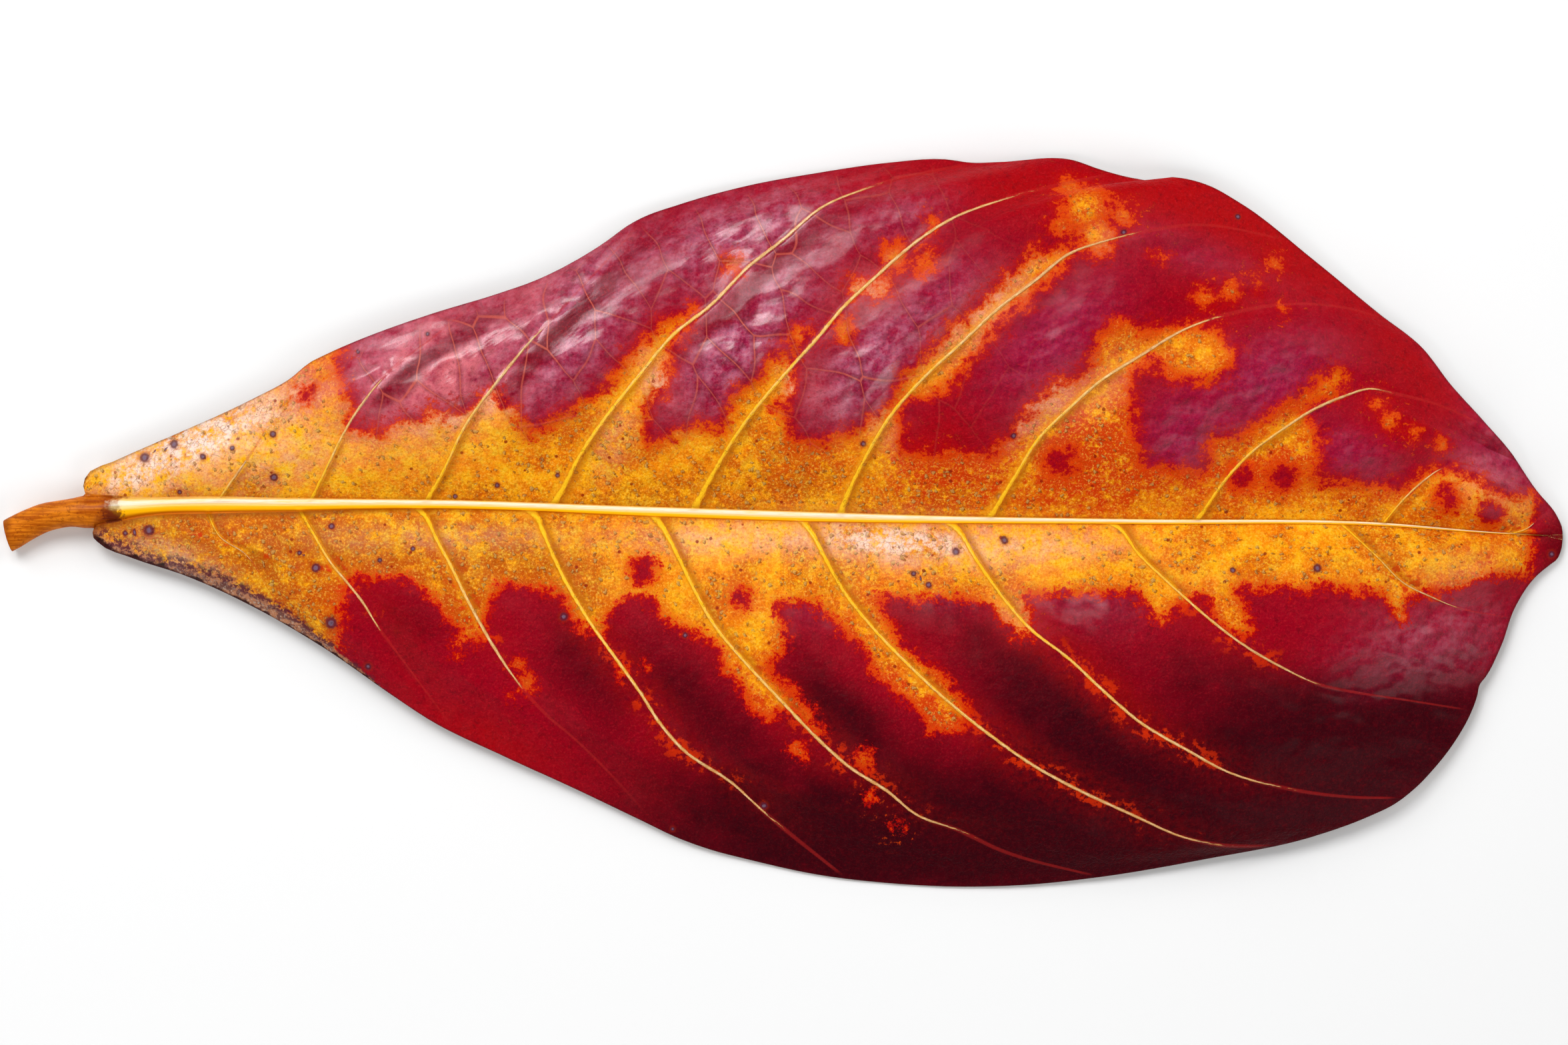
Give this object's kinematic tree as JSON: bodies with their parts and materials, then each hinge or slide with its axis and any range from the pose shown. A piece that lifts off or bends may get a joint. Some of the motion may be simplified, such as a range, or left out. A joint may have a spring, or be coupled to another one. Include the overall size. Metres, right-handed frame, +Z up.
{
  "type": "autumn leaf",
  "caption": "Broad leathery fallen leaf in autumn colours: short curved stalk, raised midrib, arching side veins and two bowed halves, lying face up.",
  "frame": {"origin": "on the surface the leaf lies on, under the middle of its bounding box", "axes": "+X from the cut end of the stalk to the tip, +Y towards the half on the left of the stalk, +Z up"},
  "size_m": [0.222, 0.1038, 0.0105],
  "materials": {
    "leaf_skin": "satin"
  },
  "bodies": {
    "root": {"leaf": "leaf_skin"}
  },
  "joints": []
}
